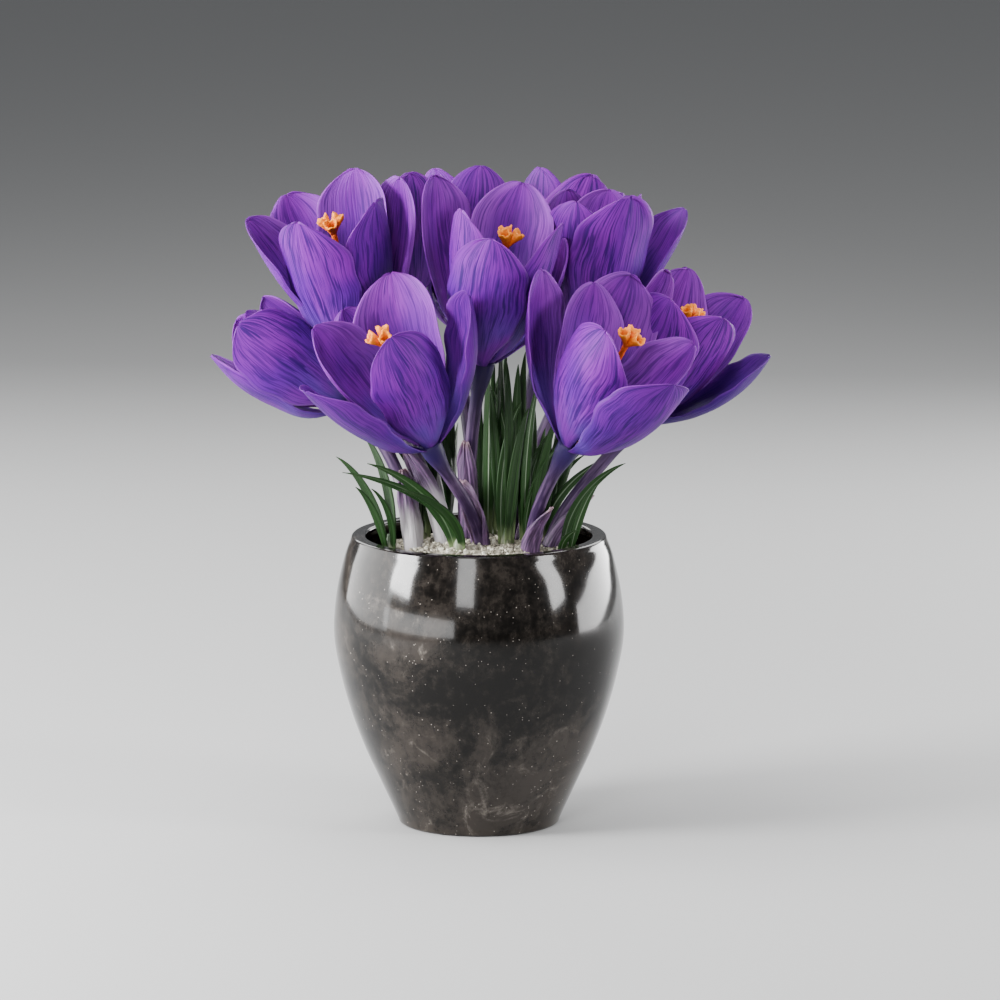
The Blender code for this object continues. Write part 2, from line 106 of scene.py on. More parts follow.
# throat: its middle. lean: degrees to the right and towards the front. style: height over the throat. root: its
# place in the soil. bract: share of the tube that it wraps. side: degrees round the tube to the bract's point.
# tepals: azimuth from the front, middle angle and tip angle from the axis, length and width, outer whorl first.
Bloom = namedtuple("Bloom", "throat lean style root bract side tepals")
BLOOMS = [
    Bloom((-13.5, -27, 112), (-22, 28), 40, (1, -6.5), 0.55, 150,           # front left, wide open
          [(-58, 30, 16, 50, 27), (92, 33, 10, 49, 27), (-162, 34, 19, 43.5, 23),
           (22, 18, -30, 48, 27), (164, 31, 30, 48, 28), (-122, 24, 6, 48, 25)]),
    Bloom((25, -29, 112), (27, 24), 40, (14, -10), 0.5, 60,                 # front right, wide open
          [(-108, 42, 10, 51, 24), (38, 30, 0, 50, 28), (-170, 34, 24, 50, 28),
           (-38, 20, -16, 47, 27), (116, 24, 6, 46, 24), (-146, 34, 20, 45, 22)]),
    Bloom((1.2, -12, 132.4), (11, 8), 38, (-3, 0), 0.6, -30,                # centre
          [(-15, 20, 2, 46, 25), (-130, 30, 16, 54, 24), (121, 22, -1, 42, 21),
           (-54, 18, 6, 49, 23), (176, 21, 14, 52, 27), (72, 14, 0, 48, 23)]),
    Bloom((-32.5, 2, 135.2), (-13, 20), 40, (-9.5, -3), 0.5, -30,           # upper left
          [(-158, 38, 26, 47, 27), (-33, 10, -7, 53, 27), (128, 31, 12, 48, 23),
           (-106, 29, 15, 49, 26), (58, 16, 2, 51, 26), (160, 29, 20, 49, 26)]),
    Bloom((-37.5, 0, 119.5), (-54, 10), 32, (-18, -5), 0.5, 30,             # lower left, nearly lying
          [(-85, 10, -14, 42, 23), (12, 12, -8, 43, 25), (130, 12, 0, 38, 21),
           (58, 2, -10, 40, 20), (179, 11, -4.5, 39, 20), (-139, 0.5, -8.5, 36.5, 19)]),
    Bloom((-24, 31, 135.4), (-10, -6), 36, (-10, 8), 0.5, -90,              # back left
          [(30, 25, 10, 50, 24), (172, 12, 3, 39, 21), (-90, 20, 6, 46, 24),
           (90, 8, -6, 38, 20), (-150, 12, 6, 46, 23), (-30, 18, 8, 47, 24)]),
    Bloom((-5, 38, 134.3), (2, -14), 36, (0, 10), 0.5, 180,                 # back
          [(10, 22, 6, 50, 24), (140, 14, 0, 42, 20), (-101, 4, -2, 37, 20.5),
           (70, 12, 2, 44, 22), (-172, 15, 4.5, 45.5, 23), (-40, 12.5, 3, 47, 24)]),
    Bloom((18, 36, 133.6), (12, -10), 36, (10, 8), 0.5, 150,                # back right
          [(10, 17, 6, 51, 22), (119, 20, 6, 48, 24), (-113, 12.5, -1, 40, 21),
           (60, 14, 4, 46, 24), (180, 8, 0, 43, 22), (-46, 12, 4, 48, 24)]),
    Bloom((27.6, 9, 136.8), (8, 8), 37, (8.5, 0), 0.5, 180,                 # upper right
          [(26, 14, 2, 52, 27), (113, 35, 11, 46, 24), (-150, 18, 2, 42, 22),
           (-26, 15, 2, 45, 24), (166, 15, 2, 42.5, 22.5), (72, 8, 1, 46.5, 20.5)]),
    Bloom((43.8, 1, 114.3), (27, 14), 36, (19, -3), 0.5, 90,                # right
          [(-33, 12.5, 2, 45.5, 27), (88, 38, 4, 43, 25), (-121, 16.5, -11.5, 45.5, 22.5),
           (28, 14, 2, 46, 24), (150, 32, 18, 46, 23), (-165, 27, 15, 45, 22)]),
]

# Tone of each tepal, in the order above: -1 deep, 1 pale. Partly each tepal's own tone, partly painted shade on
# tepals that lie in shadow and painted light on those that face the light
TEPAL_TONES_SHADE_AND_LIGHT = [
    [-0.5, -0.5, -0.1, -0.3, 0.6, 0.2],
    [0.1, -0.4, -0.05, 0.1, 0.2, 0.0],
    [0.0, -0.1, -0.1, 0.3, 0.4, 0.0],
    [0.1, -0.1, 0.1, 0.1, -0.4, 0.2],
    [0.0, -0.2, -0.2, -0.1, 0.0, 0.0],
    [0.3, 0.1, 0.4, 0.1, 0.2, 0.2],
    [-0.3, 0.1, 0.3, 0.2, 0.3, 0.2],
    [0.6, 0.8, 0.3, 0.1, 0.2, 0.2],
    [0.0, -0.4, 0.3, 0.2, 0.2, 0.2],
    [0.3, -0.8, 0.8, 0.3, -0.2, 0.2],
]
WHITE_FOOTED = (4, 5, 6)        # blooms whose tube and bract are white at the soil
WHITE_FOOT = (0.26, 0.245, 0.255)

# root: place in the soil. leaves: tip and width of each
Tuft = namedtuple("Tuft", "root leaves")
TUFTS = [
    Tuft((7.5, -7), [((6, -3, 131), 3.4), ((11, -5, 126), 3.6), ((3, -3, 121), 3), ((14, -6, 117), 3.2)]),
    Tuft((2.5, 4.5), [((4, 3, 132), 3.6), ((-1, 5, 127), 3.2), ((8, 6, 133), 3.4), ((6, 9, 122), 3)]),
    Tuft((13.5, -3), [((17, -4, 122), 3.4), ((22, -4, 115), 3.2), ((13, -2, 129), 3.4), ((25, -1, 107), 3)]),
    Tuft((-15.5, 5), [((-28, 9, 105), 3.4), ((-21, 10, 117), 3.4), ((-15, 8, 126), 3.6), ((-10, 6, 120), 3)]),
    Tuft((-5.5, -12.5), [((-38, -14, 102), 3), ((-31, -17, 105), 4), ((-22, -19, 98), 3)]),
    Tuft((-25, -5), [((-34.5, -9, 97), 2.4), ((-30, -12, 97), 2.2), ((-40, 0, 104), 3), ((-33, 6, 110), 3)]),
    Tuft((24, -9), [((34, -11, 99), 3), ((27.5, -13, 85.5), 2.4), ((41, -5, 103), 3.2)]),
    Tuft((-10, 17), [((-13, 30, 116), 3.4), ((-9, 25, 127), 3.4), ((-20, 38, 100), 3.2), ((-6, 34, 108), 3)]),
    Tuft((5, 18), [((7, 24, 128), 3.4), ((6, 37, 112), 3.4), ((9, 32, 104), 3), ((3, 21, 118), 3)]),
    Tuft((18, 13), [((23, 20, 120), 3.4), ((30, 26, 106), 3.4), ((22, 27, 112), 3), ((37, 16, 101), 3)]),
]


# ---------------------------------------------------------------- lines and frames in space

def ease(x):
    """Smooth step from 0 to 1."""
    x = np.clip(x, 0.0, 1.0)
    return x * x * (3 - 2 * x)


def bezier(p0, p1, p2, p3, t):
    s = 1 - t
    return p0 * s**3 + p1 * (3 * s * s * t) + p2 * (3 * s * t * t) + p3 * t**3


def soil_height(x, y):
    return SOIL_CREST - SOIL_FALL * (x * x + y * y)


def unit(v):
    return v / np.maximum(np.linalg.norm(v, axis=-1, keepdims=True), 1e-9)


def turned_about_z(degrees):
    a = math.radians(degrees)
    return np.array([[math.cos(a), -math.sin(a), 0], [math.sin(a), math.cos(a), 0], [0, 0, 1]])


def bloom_frame(bloom):
    """Rotation with z along the bloom's axis and x towards the front."""
    lean_x, lean_y = (math.tan(math.radians(a)) for a in bloom.lean)
    axis = unit(np.array([lean_x, -lean_y, 1.0]))
    front = np.array([0.0, -1.0, 0.0])
    front = unit(front - axis * (front @ axis))
    return np.stack([front, np.cross(axis, front), axis], 1)


def tube_path(bloom, shares):
    """Points on the bloom's tube, from share 0 below the soil to share 1 at the throat."""
    axis = bloom_frame(bloom)[:, 2]
    x, y = bloom.root
    foot = np.array([x, y, soil_height(x, y) - ROOT_DEPTH])
    throat = np.array(bloom.throat, float)
    rise = throat[2] - foot[2]
    up = np.array([0, 0, 0.4 * rise])
    return np.array([bezier(foot, foot + up, throat - axis * (0.35 * rise), throat, t) for t in shares])


# ---------------------------------------------------------------- meshes

class Parts:
    """Points, faces and pattern values of several closed forms that make one piece.

    pattern is (across -1 to 1, along 0 to 1, a number of the form's own). face is (1 on the inner face, tone).
    """

    def __init__(self):
        self.points = []
        self.faces = []
        self.pattern = []
        self.face = []

    def add(self, points, faces, pattern, inner, tone=0.0):
        start = len(self.points)
        self.points.extend(map(tuple, points))
        self.faces.extend([tuple(start + k for k in face) for face in faces])
        self.pattern.extend(map(tuple, pattern))
        self.face.extend([(share, tone, 0.0) for share in inner])

    def add_sheet(self, grid, thickness, own, taper=0.6, tone=0.0, rows_at=None):
        """Closed sheet round a grid, thinner at its edges. Its outer face looks along across x along."""
        rows, across = grid.shape[:2]
        normal = unit(np.cross(np.gradient(grid, axis=1), np.gradient(grid, axis=0)))
        rows_at = np.linspace(0, 1, rows) if rows_at is None else rows_at
        u, v = np.meshgrid(np.linspace(-1, 1, across), rows_at)
        half = thickness / 2 * (1 - taper * np.maximum(abs(u)**6, v**10))
        count = rows * across
        points = np.concatenate([(grid + normal * half[..., None]).reshape(-1, 3),
                                 (grid - normal * half[..., None]).reshape(-1, 3)])
        faces = []
        for j in range(rows - 1):
            for i in range(across - 1):
                a = j * across + i
                d = a + across
                faces.append((a, a + 1, d + 1, d))
                faces.append((count + d, count + d + 1, count + a + 1, count + a))
        last = (rows - 1) * across
        loop = list(range(across)) + [j * across + across - 1 for j in range(1, rows)]
        loop += [last + i for i in range(across - 2, -1, -1)] + [j * across for j in range(rows - 2, 0, -1)]
        for a, b in zip(loop, loop[1:] + loop[:1]):
            faces.append((b, a, count + a, count + b))
        pattern = np.stack([u, v, np.full_like(u, own)], -1).reshape(-1, 3)
        self.add(points, faces, np.concatenate([pattern, pattern]), [0.0] * count + [1.0] * count, tone)

    def add_rod(self, path, radii, sides, own, tone=0.0):
        """Closed rod along a path. A radius may be one number or a list round the ring."""
        path = np.asarray(path, float)
        along = unit(np.gradient(path, axis=0))
        front = np.array([0.0, -1.0, 0.02])
        front = unit(front - along * (along @ front)[:, None])
        across = np.cross(along, front)
        rows = len(path)
        angle = np.linspace(0, 2 * math.pi, sides, endpoint=False)
        radii = np.asarray(radii, float)
        radii = radii[:, None] if radii.ndim == 1 else radii
        ring = front[:, None] * np.cos(angle)[None, :, None] + across[:, None] * np.sin(angle)[None, :, None]
        points = (path[:, None] + ring * (radii * np.ones(sides))[..., None]).reshape(-1, 3)
        faces = []
        for j in range(rows - 1):
            for i in range(sides):
                n = (i + 1) % sides
                faces.append((j * sides + i, j * sides + n, (j + 1) * sides + n, (j + 1) * sides + i))
        faces.append(tuple(range(sides - 1, -1, -1)))
        faces.append(tuple((rows - 1) * sides + i for i in range(sides)))
        u, v = np.meshgrid(abs(np.linspace(-1, 1, sides, endpoint=False)), np.linspace(0, 1, rows))
        pattern = np.stack([u, v, np.full_like(u, own)], -1).reshape(-1, 3)
        self.add(points, faces, pattern, [0.0] * len(points), tone)

    def piece(self, name, material, node):
        """The piece that these forms make. It rides on the root and stands for a node of the frame."""
        mesh = bpy.data.meshes.new(name)
        mesh.from_pydata([tuple(c * MM for c in p) for p in self.points], [], self.faces)
        for key, rows in (("pattern", self.pattern), ("face", self.face)):
            values = mesh.attributes.new(key, "FLOAT_VECTOR", "POINT")
            values.data.foreach_set("vector", [float(c) for row in rows for c in row])
        mesh.materials.append(material)
        mesh.shade_smooth()
        item = bpy.data.objects.new(name, mesh)
        bpy.context.scene.collection.objects.link(item)
        dress(item, node)
        return item


def dress(item, node):
    """Hang a piece on the root in place of a node."""
    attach(item, "root")
    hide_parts(node)


# ---------------------------------------------------------------- materials

class Nodes:
    """Short forms for the shader nodes of one material."""

    def __init__(self, name):
        self.material = bpy.data.materials.new(name)
        self.material.use_nodes = True
        self.tree = self.material.node_tree
        self.shader = self.tree.nodes["Principled BSDF"]

    def make(self, kind, output=0, settings=None, **inputs):
        node = self.tree.nodes.new("ShaderNode" + kind)
        for key, value in (settings or {}).items():
            setattr(node, key, value)
        for key, value in inputs.items():
            self.put(node.inputs[key.replace("_", " ")], value)
        return node.outputs[output]

    def put(self, socket, value):
        if isinstance(value, bpy.types.NodeSocket):
            self.tree.links.new(value, socket)
        elif isinstance(value, tuple) and len(value) == 3 and socket.type == "RGBA":
            socket.default_value = (*value, 1.0)
        else:
            socket.default_value = value

    def set(self, **inputs):
        for key, value in inputs.items():
            self.put(self.shader.inputs[key.replace("_", " ")], value)

    def math(self, operation, a, b=0.0):
        node = self.tree.nodes.new("ShaderNodeMath")
        node.operation = operation
        for socket, value in zip(node.inputs, (a, b)):
            self.put(socket, value)
        return node.outputs[0]

    def times(self, a, b):
        return self.math("MULTIPLY", a, b)

    def centred(self, value, share):
        """value less a half, times share."""
        return self.times(self.math("SUBTRACT", value, 0.5), share)

    def mix(self, share, a, b, blend="MIX"):
        node = self.tree.nodes.new("ShaderNodeMix")
        node.data_type = "RGBA"
        node.blend_type = blend
        for index, value in ((0, share), (6, a), (7, b)):
            self.put(node.inputs[index], value)
        return node.outputs[2]

    def ramp(self, value, low, high, to_low=0.0, to_high=1.0):
        """value from low to high goes smoothly from to_low to to_high."""
        node = self.tree.nodes.new("ShaderNodeMapRange")
        node.interpolation_type = "SMOOTHSTEP"
        for socket, number in zip(node.inputs, (value, low, high, to_low, to_high)):
            self.put(socket, number)
        return node.outputs[0]

    def noise(self, vector, scale, detail=2.0, roughness=0.5, distortion=0.0, output=0):
        return self.make("TexNoise", output, Vector=vector, Scale=scale, Detail=detail,
                         Roughness=roughness, Distortion=distortion)

    def streaks(self, across, along, own, stretch, detail=2.0):
        """Noise drawn out over a form's own pattern, with about stretch marks across it and along it."""
        drawn = self.vector(self.times(across, stretch[0]), self.times(along, stretch[1]), own)
        return self.noise(drawn, 1.0, detail)

    def bump(self, height, strength, distance):
        return self.make("Bump", Height=height, Strength=strength, Distance=distance)

    def vector(self, x, y, z):
        return self.make("CombineXYZ", X=x, Y=y, Z=z)

    def split(self, vector):
        node = self.tree.nodes.new("ShaderNodeSeparateXYZ")
        self.put(node.inputs[0], vector)
        return list(node.outputs)

    def pattern(self):
        """Across, along, own number, inner face and tone, from the mesh."""
        found = []
        for key in ("pattern", "face"):
            found += self.split(self.make("Attribute", 1, dict(attribute_name=key)))
        return found[:5]

    def place(self):
        return self.make("TexCoord", 3)


def petal_material():
    """Violet petal: blue to the throat, magenta to the tip, lilac inside, with dark dashes along its veins. The
    lilac inside is partly painted light; deep tepals are partly painted shade and pale ones partly painted light.
    """
    n = Nodes("petal")
    u, v, own, side, tone = n.pattern()
    shade = n.times(own, 37.0)
    across = n.math("ADD", u, n.centred(n.noise(n.vector(u, v, shade), 2.2), 0.16))
    broad = n.streaks(across, v, shade, (7.0, 1.8))
    dash = n.streaks(across, v, shade, (17.0, 3.6))
    fine = n.streaks(across, v, shade, (36.0, 5.0), 1.0)
    patch = n.streaks(u, v, shade, (1.2, 2.4))
    edge = n.math("ABSOLUTE", u)
    # ground colour from the throat to the tip
    ground = n.mix(n.ramp(v, 0.02, 0.22), (0.014, 0.004, 0.085), (0.080, 0.032, 0.24))
    ground = n.mix(n.ramp(v, 0.24, 0.60), ground, (0.076, 0.003, 0.20))
    ground = n.mix(n.ramp(v, 0.55, 0.95), ground, (0.112, 0.003, 0.215))
    ground = n.mix(n.ramp(patch, 0.40, 0.66, 0.0, 0.7), ground, (0.160, 0.007, 0.27))
    # deep or pale tepals, partly their own tone and partly painted shade on the deep ones and painted light on
    # the pale ones; lilac inner faces, partly their own colour and partly painted light, faint on deep tepals in
    # shade; and thin edges
    ground = n.mix(n.ramp(tone, 0.0, -1.0, 0.0, 0.85), ground, (0.018, 0.001, 0.085))
    pale = n.times(n.ramp(tone, 0.0, 1.0, 0.0, 0.9), n.ramp(patch, 0.36, 0.56, 0.2, 1.0))
    ground = n.mix(pale, ground, (0.175, 0.010, 0.27))
    # painted light: the lilac inner face, stronger towards the margins and dimmed on deep tepals that lie in
    # shade
    inner = n.times(side, n.ramp(edge, 0.1, 1.0, 0.04, 0.45))
    inner = n.times(inner, n.ramp(tone, -0.5, 0.0, 0.1, 1.0))
    ground = n.mix(inner, ground, (0.25, 0.065, 0.40))
    ground = n.mix(n.ramp(edge, 0.95, 1.0, 0.0, 0.12), ground, (0.30, 0.12, 0.45))
    # veins
    thick = n.times(n.ramp(dash, 0.50, 0.585), n.ramp(broad, 0.30, 0.60, 0.35, 1.0))
    thick = n.times(thick, n.ramp(v, 0.1, 0.5, 0.3, 0.95))
    thin = n.times(n.ramp(fine, 0.52, 0.63), n.ramp(v, 0.1, 0.5, 0.15, 0.6))
    veins = n.math("MAXIMUM", n.math("MAXIMUM", thick, thin), n.ramp(broad, 0.5, 0.75, 0.0, 0.3))
    veins = n.times(veins, n.ramp(edge, 0.75, 1.0, 1.0, 0.4))
    veins = n.times(veins, n.ramp(side, 0.0, 1.0, 0.95, 0.7))
    colour = n.mix(veins, ground, (0.016, 0.001, 0.075))
    # the whole petal a little deeper and less green
    colour = n.mix(1.0, colour, (0.90, 0.80, 0.90), "MULTIPLY")
    ribs = n.streaks(across, v, shade, (26.0, 1.5), 1.0)
    n.set(Base_Color=colour, Roughness=0.55, Specular_IOR_Level=0.10, Normal=n.bump(ribs, 0.6, 0.0003))
    n.set(Subsurface_Weight=0.08, Subsurface_Radius=(0.0014, 0.0003, 0.0018), Subsurface_Scale=1.0)
    return n.material


def tube_material():
    """Perianth tube: mauve with pale streaks, blue-violet where it opens. A pale tone gives it a white foot."""
    n = Nodes("tube")
    u, v, own, _side, tone = n.pattern()
    streak = n.streaks(u, v, own, (5.0, 4.0), 3.0)
    rise = n.math("ADD", v, n.centred(streak, 0.4))
    colour = n.mix(n.ramp(streak, 0.42, 0.62), (0.016, 0.006, 0.028), (0.062, 0.034, 0.078))
    colour = n.mix(n.times(tone, n.ramp(rise, 0.5, 0.3)), colour, WHITE_FOOT)
    colour = n.mix(n.ramp(rise, 0.62, 0.95), colour, (0.010, 0.002, 0.045))
    n.set(Base_Color=colour, Roughness=0.5, Specular_IOR_Level=0.2, Normal=n.bump(streak, 0.5, 0.0004))
    n.set(Subsurface_Weight=0.05, Subsurface_Radius=(0.0012, 0.0008, 0.0016), Subsurface_Scale=1.0)
    return n.material


def bract_material():
    """Papery bract: mauve with pale creases and a browned point. A pale tone gives it a white foot."""
    n = Nodes("bract")
    u, v, own, side, tone = n.pattern()
    ribs = n.streaks(u, v, own, (9.0, 3.0), 3.0)
    colour = n.mix(n.ramp(ribs, 0.38, 0.66), (0.022, 0.007, 0.034), (0.105, 0.050, 0.122))
    colour = n.mix(n.times(side, 0.6), colour, (0.28, 0.19, 0.30))
    colour = n.mix(n.times(tone, n.ramp(v, 0.7, 0.4)), colour, WHITE_FOOT)
    colour = n.mix(n.ramp(v, 0.9, 1.0, 0.0, 0.6), colour, (0.16, 0.09, 0.09))
    n.set(Base_Color=colour, Roughness=0.55, Normal=n.bump(ribs, 0.8, 0.0005))
    n.set(Subsurface_Weight=0.15, Subsurface_Radius=(0.002, 0.0014, 0.0018), Subsurface_Scale=1.0)
    return n.material


def stigma_material():
    """Grainy orange stigma: red-orange style, yellow-orange frilled rims."""
    n = Nodes("stigma")
    v = n.pattern()[1]
    grain = n.noise(n.place(), 1500.0)
    rise = n.math("ADD", v, n.centred(grain, 0.5))
    colour = n.mix(n.ramp(rise, 0.2, 0.7), (0.38, 0.028, 0.003), (0.60, 0.095, 0.002))
    colour = n.mix(n.ramp(rise, 0.72, 1.0), colour, (0.66, 0.19, 0.004))
    n.set(Base_Color=colour, Roughness=0.6, Specular_IOR_Level=0.3, Normal=n.bump(grain, 0.8, 0.0004))
    n.set(Subsurface_Weight=0.06, Subsurface_Radius=(0.0014, 0.0006, 0.0002), Subsurface_Scale=1.0)
    return n.material


def anther_material():
    """Yellow anthers, powdery with pollen."""
    n = Nodes("anther")
    grain = n.noise(n.place(), 2400.0)
    colour = n.mix(grain, (0.85, 0.42, 0.05), (1.0, 0.66, 0.18))
    n.set(Base_Color=colour, Roughness=0.75, Normal=n.bump(grain, 0.8, 0.0003))
    return n.material


def leaf_material():
    """Dark green blade with a thin white midrib and fine ribs."""
    n = Nodes("leaf")
    u, v, own = n.pattern()[:3]
    edge = n.math("ABSOLUTE", u)
    ribs = n.streaks(u, v, n.times(own, 9.0), (7.0, 1.5))
    colour = n.mix(n.ramp(ribs, 0.35, 0.68), (0.0022, 0.008, 0.0022), (0.011, 0.032, 0.007))
    colour = n.mix(n.ramp(v, 0.7, 1.0, 0.0, 0.4), colour, (0.016, 0.038, 0.009))
    colour = n.mix(n.ramp(own, 0.0, 1.0, 0.0, 0.5), colour, (0.012, 0.038, 0.008))
    midrib = n.times(n.ramp(edge, 0.15, 0.04, 0.0, 0.75), n.ramp(own, 0.5, 0.9))
    colour = n.mix(midrib, colour, (0.17, 0.22, 0.15))
    colour = n.mix(n.ramp(v, 0.12, 0.0, 0.0, 0.7), colour, (0.20, 0.26, 0.12))
    n.set(Base_Color=colour, Roughness=0.45, Specular_IOR_Level=0.12, Normal=n.bump(ribs, 0.5, 0.0004))
    return n.material


def sheath_material():
    """Pale sheath that turns green towards its leaves."""
    n = Nodes("sheath")
    u, v, own = n.pattern()[:3]
    ribs = n.streaks(u, v, own, (9.0, 1.5))
    colour = n.mix(n.ramp(ribs, 0.4, 0.65), (0.10, 0.12, 0.06), (0.22, 0.22, 0.14))
    colour = n.mix(n.ramp(v, 0.45, 0.95), colour, (0.02, 0.05, 0.015))
    n.set(Base_Color=colour, Roughness=0.5, Normal=n.bump(ribs, 0.7, 0.0003))
    return n.material


def glaze_material():
    """Near-black glaze with smoky grey-brown clouds and fine pale dust under a clear gloss."""
    n = Nodes("glaze")
    place = n.place()
    warp = n.noise(place, 18.0, 3.0, 0.55, 0.0, output=1)
    bent = n.mix(0.04, place, warp, "LINEAR_LIGHT")
    cloud = n.noise(bent, 26.0, 8.0, 0.66, 0.3)
    grain = n.noise(place, 420.0, 4.0, 0.7)
    wisp = n.noise(bent, 70.0, 7.0, 0.72, 0.9)
    x, y, z = n.split(place)
    stroke = n.noise(n.vector(n.times(x, 5.0), n.times(y, 5.0), z), 70.0, 6.0, 0.75, 0.4)
    rough = n.math("ADD", n.centred(grain, 0.34), n.centred(stroke, 0.26))
    low = n.ramp(z, 0.045, 0.010, 0.0, 0.07)
    smoke = n.math("ADD", n.math("ADD", cloud, low), rough)
    colour = n.mix(n.ramp(smoke, 0.42, 0.68), (0.0018, 0.0014, 0.0011), (0.022, 0.018, 0.015))
    light = n.times(n.ramp(smoke, 0.54, 0.76), n.ramp(wisp, 0.50, 0.68))
    colour = n.mix(light, colour, (0.125, 0.11, 0.095))
    # dust: one speck in the middle of a few cells, in two sizes
    for scale, share, size in ((620.0, 0.93, 0.13), (1150.0, 0.91, 0.24)):
        cells = n.make("TexVoronoi", Vector=place, Scale=scale)
        pick = n.make("TexVoronoi", 1, Vector=place, Scale=scale)
        chosen = n.ramp(n.make("SeparateColor", Color=pick), share, share + 0.01)
        speck = n.times(n.ramp(cells, size, 0.4 * size), chosen)
        speck = n.times(speck, n.ramp(cloud, 0.40, 0.60, 0.25, 0.8))
        colour = n.mix(speck, colour, (0.30, 0.27, 0.24))
    n.set(Base_Color=colour, Roughness=0.12, Specular_IOR_Level=0.20, Coat_Weight=0.12, Coat_Roughness=0.03)
    n.set(Normal=n.bump(cloud, 0.08, 0.0006))
    return n.material


def gravel_material():
    """Beige-grey grit, each stone with its own tone."""
    n = Nodes("gravel")
    own = n.pattern()[2]
    grain = n.noise(n.place(), 1400.0, 3.0)
    shade = n.math("ADD", own, n.centred(grain, 0.6))
    colour = n.mix(n.ramp(shade, 0.0, 0.5), (0.07, 0.06, 0.045), (0.27, 0.25, 0.19))
    colour = n.mix(n.ramp(shade, 0.5, 1.0), colour, (0.52, 0.50, 0.41))
    n.set(Base_Color=colour, Roughness=0.85, Normal=n.bump(grain, 0.5, 0.0004))
    return n.material


def floor_material():
    """Plain pale floor."""
    n = Nodes("floor")
    n.set(Base_Color=(0.34, 0.34, 0.34), Roughness=0.8, Specular_IOR_Level=0.2)
    return n.material


# ---------------------------------------------------------------- blooms

def tepal_outline(t):
    """Share of the full width at a share t of the length: a narrow claw, then an oval with a soft point."""
    rise = np.sin(0.5 * math.pi * np.clip(t / TEPAL_WIDEST, 0, 1)**1.15)
    fall = (1 - np.clip((t - TEPAL_WIDEST) / (1 - TEPAL_WIDEST), 0, 1)**2.4)**0.52
    return TEPAL_CLAW * (1 - t)**2 + np.where(t < TEPAL_WIDEST, rise, fall)


def tepal_grid(azimuth, middle, tip, length, width, whorl, rng):
    """Points of one tepal in its bloom's frame, rows from the foot to the tip, with a rippled margin."""
    steps = 200
    t = np.linspace(0, 1, steps + 1)
    angle = whorl["angle"] + (middle - whorl["angle"]) * ease(t / BEND_AT)
    angle = np.radians(angle + (tip - middle) * ease((t - BEND_AT) / (1 - BEND_AT)))
    mean = (angle[1:] + angle[:-1]) / 2
    out = whorl["start"] + np.concatenate([[0], np.cumsum(np.sin(mean))]) * length / steps
    high = np.concatenate([[0], np.cumsum(np.cos(mean))]) * length / steps
    s = np.linspace(-1, 1, TEPAL_ACROSS + 1)[None, :]
    v = tepal_rows()[:, None]
    along = v - 0.10 * abs(s)**1.7 * v**3 * np.sqrt(1 - v)
    along = along * (1 + rng.uniform(0.004, 0.014) * np.sin(rng.uniform(5, 9) * s + 7 * rng.random()) * v**6)
    notch = 0.05 * np.sin(5 * v + 7 * rng.random()) + 0.035 * np.sin(23 * v + 7 * rng.random())
    half = TEPAL_BROADER * width / 2 * tepal_outline(v) * (1 + notch * ease(v / 0.5))
    full = ease(along / FULL_AT)
    radius = 1 / ((1 - full) / FOOT_CURVE + full / whorl["cup"])
    across = radius * np.sin(s * half / radius)
    sink = radius * (1 - np.cos(s * half / radius))
    ripple = rng.uniform(0.3, 0.7) * np.sin(2 * math.pi * rng.uniform(1.2, 2.0) * along + 7 * rng.random())
    ripple = ripple + rng.uniform(0.2, 0.4) * np.sin(5.3 * s + 6 * along + 7 * rng.random())
    crease = -0.35 * np.exp(-(s / 0.10)**2) * ease(along / 0.3) * (1 - 0.6 * along)
    sink = sink + ripple * (0.25 + s**2) * ease(along / 0.5) + crease
    a = np.interp(along, t, angle)
    r = np.interp(along, t, out) - sink * np.cos(a)
    z = np.interp(along, t, high) + sink * np.sin(a)
    points = np.stack([r, across + 0 * r, z], -1)
    return points @ turned_about_z(azimuth).T


def tepal_rows():
    """Shares of the length, closer together towards the rounded tip."""
    return np.sin(0.5 * math.pi * np.linspace(0, 0.985, TEPAL_ALONG + 1))


def make_tepals(number, bloom, material):
    """Six tepals in two whorls of three."""
    rng = random.Random(SEED + number)
    axes = bloom_frame(bloom)
    parts = Parts()
    for k, tepal in enumerate(bloom.tepals):
        grid = tepal_grid(*tepal, OUTER if k < 3 else INNER, rng)
        # the tone is partly the tepal's own and partly painted shade and painted light
        parts.add_sheet(grid @ axes.T + np.array(bloom.throat), TEPAL_THICKNESS, (number * 6 + k) / 61,
                        tone=TEPAL_TONES_SHADE_AND_LIGHT[number - 1][k], rows_at=tepal_rows())
    parts.piece(f"tepals_{number:02d}", material, f"bloom_{number:02d}")


def make_tube(number, bloom, material):
    """Perianth tube that widens to its throat, with its root in the soil."""
    throat = np.array(bloom.throat, float)
    path = tube_path(bloom, np.linspace(0, 1, 40))
    near = 1 - np.linalg.norm(path - throat, axis=1) / THROAT_LENGTH
    radii = TUBE_RADIUS + (THROAT_RADIUS - TUBE_RADIUS) * ease(near)
    axis = bloom_frame(bloom)[:, 2]
    path = np.concatenate([path, [throat + axis * 1.0, throat + axis * 1.6]])
    radii = np.concatenate([radii, [THROAT_RADIUS + 0.1, 1.2]])
    parts = Parts()
    parts.add_rod(path, radii, 20, number, tone=float(number in WHITE_FOOTED))
    parts.piece(f"tube_{number:02d}", material, f"bloom_{number:02d}")


def make_stamens(number, bloom, material):
    """Three filaments, each with a thicker anther on its upper half."""
    axes = bloom_frame(bloom)
    parts = Parts()
    z = np.linspace(0.5, STAMEN_HEIGHT, 24)
    share = z / STAMEN_HEIGHT
    swell = 0.28 + 0.62 * ease((share - 0.42) / 0.12) * (1 - ease((share - 0.9) / 0.1) * 0.8)
    for k in range(3):
        path = np.stack([1.6 + 0.05 * z, 0 * z, z], 1) @ turned_about_z(60 + 120 * k).T
        parts.add_rod(path @ axes.T + np.array(bloom.throat), swell, 10, k / 3)
    parts.piece(f"stamens_{number:02d}", material, f"bloom_{number:02d}")


